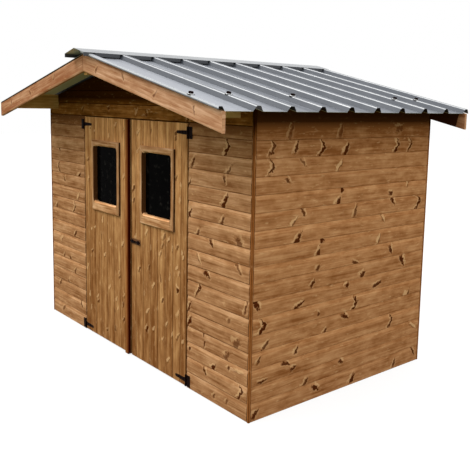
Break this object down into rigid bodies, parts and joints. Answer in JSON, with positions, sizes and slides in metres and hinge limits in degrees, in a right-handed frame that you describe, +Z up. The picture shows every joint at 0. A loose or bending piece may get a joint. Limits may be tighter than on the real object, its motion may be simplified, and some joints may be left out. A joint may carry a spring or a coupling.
{
  "type": "garden shed",
  "caption": "Timber garden shed with a gable front, a pair of outward-opening glazed doors and a ribbed metal roof on purlins; an open room for storing garden tools.",
  "frame": {"origin": "on the ground, under the middle of the roof's outline", "axes": "+X to the right along the front wall as seen by someone facing the doors, +Y from the front to the back along the ridge, +Z up"},
  "size_m": [3.1546, 2.354, 2.2726],
  "materials": {
    "wall_boards": "matte",
    "door_boards": "matte",
    "trim_boards": "matte",
    "frame_timber": "matte",
    "window_glass": "gloss",
    "black_iron": "satin",
    "roof_metal": "satin"
  },
  "bodies": {
    "root": {"front_wall_left": "wall_boards", "front_wall_right": "wall_boards", "front_gable": "wall_boards", "back_wall": "wall_boards", "left_wall": "wall_boards", "right_wall": "wall_boards", "front_corner_strips": "trim_boards", "back_corner_strips": "trim_boards", "front_posts": "frame_timber", "back_posts": "frame_timber", "left_posts": "frame_timber", "right_posts": "frame_timber", "front_rails": "frame_timber", "back_rails": "frame_timber", "left_rails": "frame_timber", "right_rails": "frame_timber", "door_header": "frame_timber", "left_hinge_plates": "black_iron", "right_hinge_plates": "black_iron", "ridge_purlin": "frame_timber", "left_purlin": "frame_timber", "right_purlin": "frame_timber", "left_front_sheet": "roof_metal", "left_rear_sheet": "roof_metal", "right_front_sheet": "roof_metal", "right_rear_sheet": "roof_metal", "ridge_cap": "roof_metal", "front_left_bargeboard": "trim_boards", "front_right_bargeboard": "trim_boards", "rear_left_bargeboard": "trim_boards", "rear_right_bargeboard": "trim_boards"},
    "left_door": {"left_door_boards": "door_boards", "left_door_ledges": "frame_timber", "left_window_frame": "door_boards", "left_window_pane": "window_glass", "left_hinge_straps": "black_iron", "meeting_strip": "door_boards"},
    "right_door": {"right_door_boards": "door_boards", "right_door_ledges": "frame_timber", "right_window_frame": "door_boards", "right_window_pane": "window_glass", "right_hinge_straps": "black_iron", "door_bolt": "black_iron"}
  },
  "joints": [
    {"name": "left_door_hinge", "type": "hinge", "parent": "root", "child": "left_door", "pos_m": [-0.739, -0.7491, 0.9], "axis": [0, 0, -1], "range_deg": [0, 165]},
    {"name": "right_door_hinge", "type": "hinge", "parent": "root", "child": "right_door", "pos_m": [0.739, -0.7491, 0.9], "axis": [0, 0, 1], "range_deg": [0, 165]}
  ]
}
